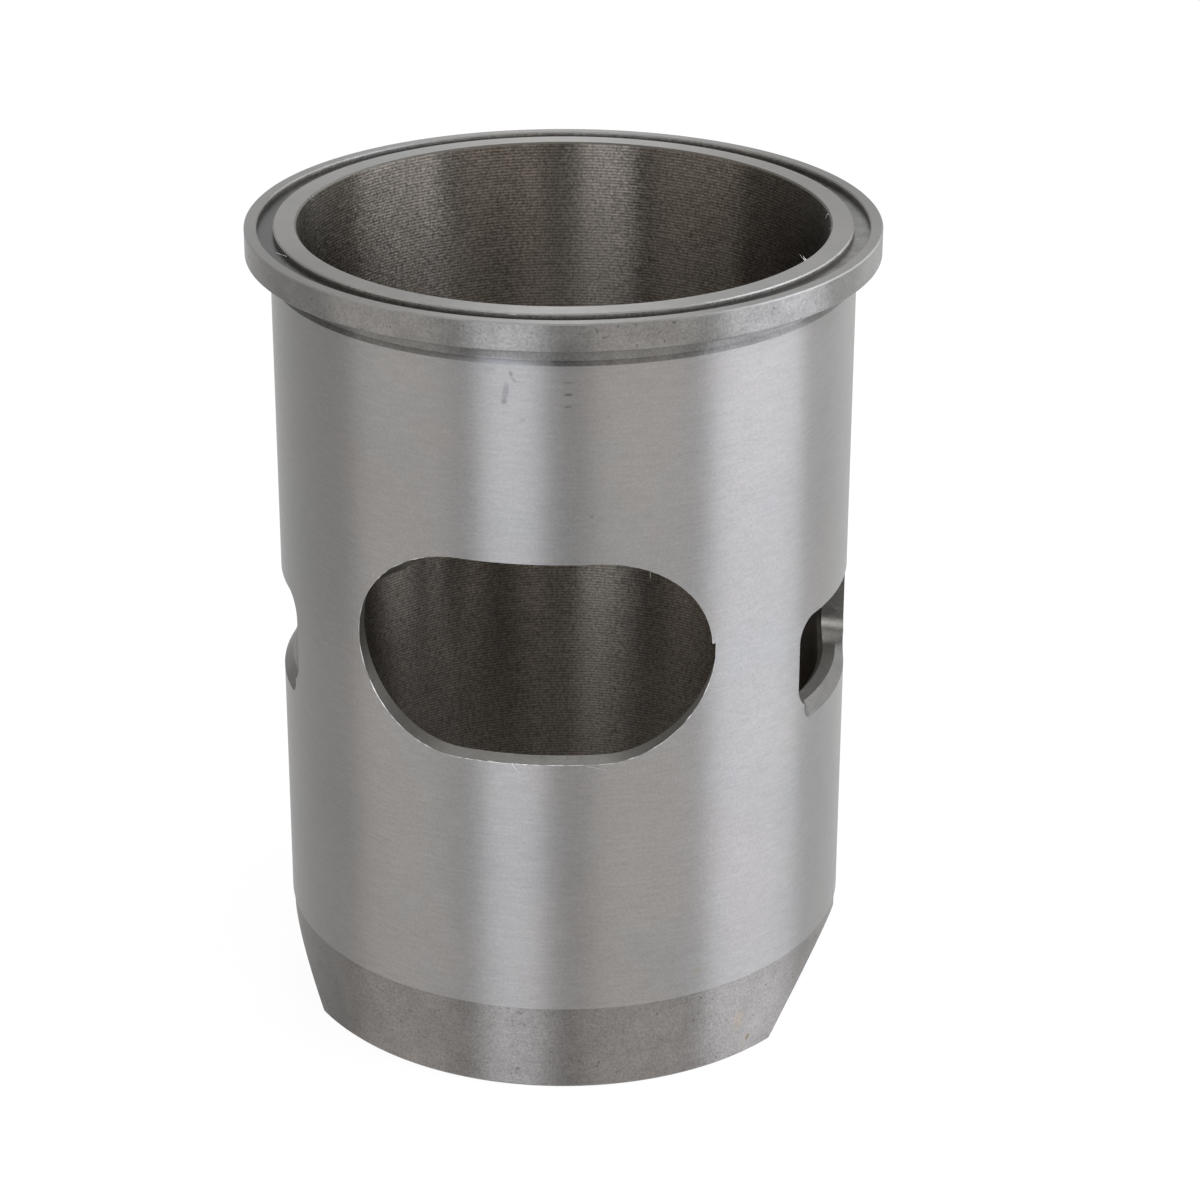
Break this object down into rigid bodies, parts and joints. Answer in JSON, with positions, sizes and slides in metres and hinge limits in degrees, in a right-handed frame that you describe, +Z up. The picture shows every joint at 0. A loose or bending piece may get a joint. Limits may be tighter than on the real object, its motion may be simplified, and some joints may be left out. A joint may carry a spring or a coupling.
{
  "type": "cylinder liner",
  "caption": "Thin-walled tube with a flange and a seal groove at the deck, milled port windows round its wall and a skirt cut back on opposite sides.",
  "frame": {"origin": "centre of the foot, on the bore axis", "axes": "+Z up the bore axis from the foot to the deck, the exhaust port faces -Y, main transfer ports face +X and -X"},
  "size_m": [0.0966, 0.0966, 0.1263],
  "materials": {
    "liner_iron": "ground body, honed bore, rough turned skirt and neck"
  },
  "bodies": {
    "root": {"cylinder_liner": "liner_iron"}
  },
  "joints": []
}
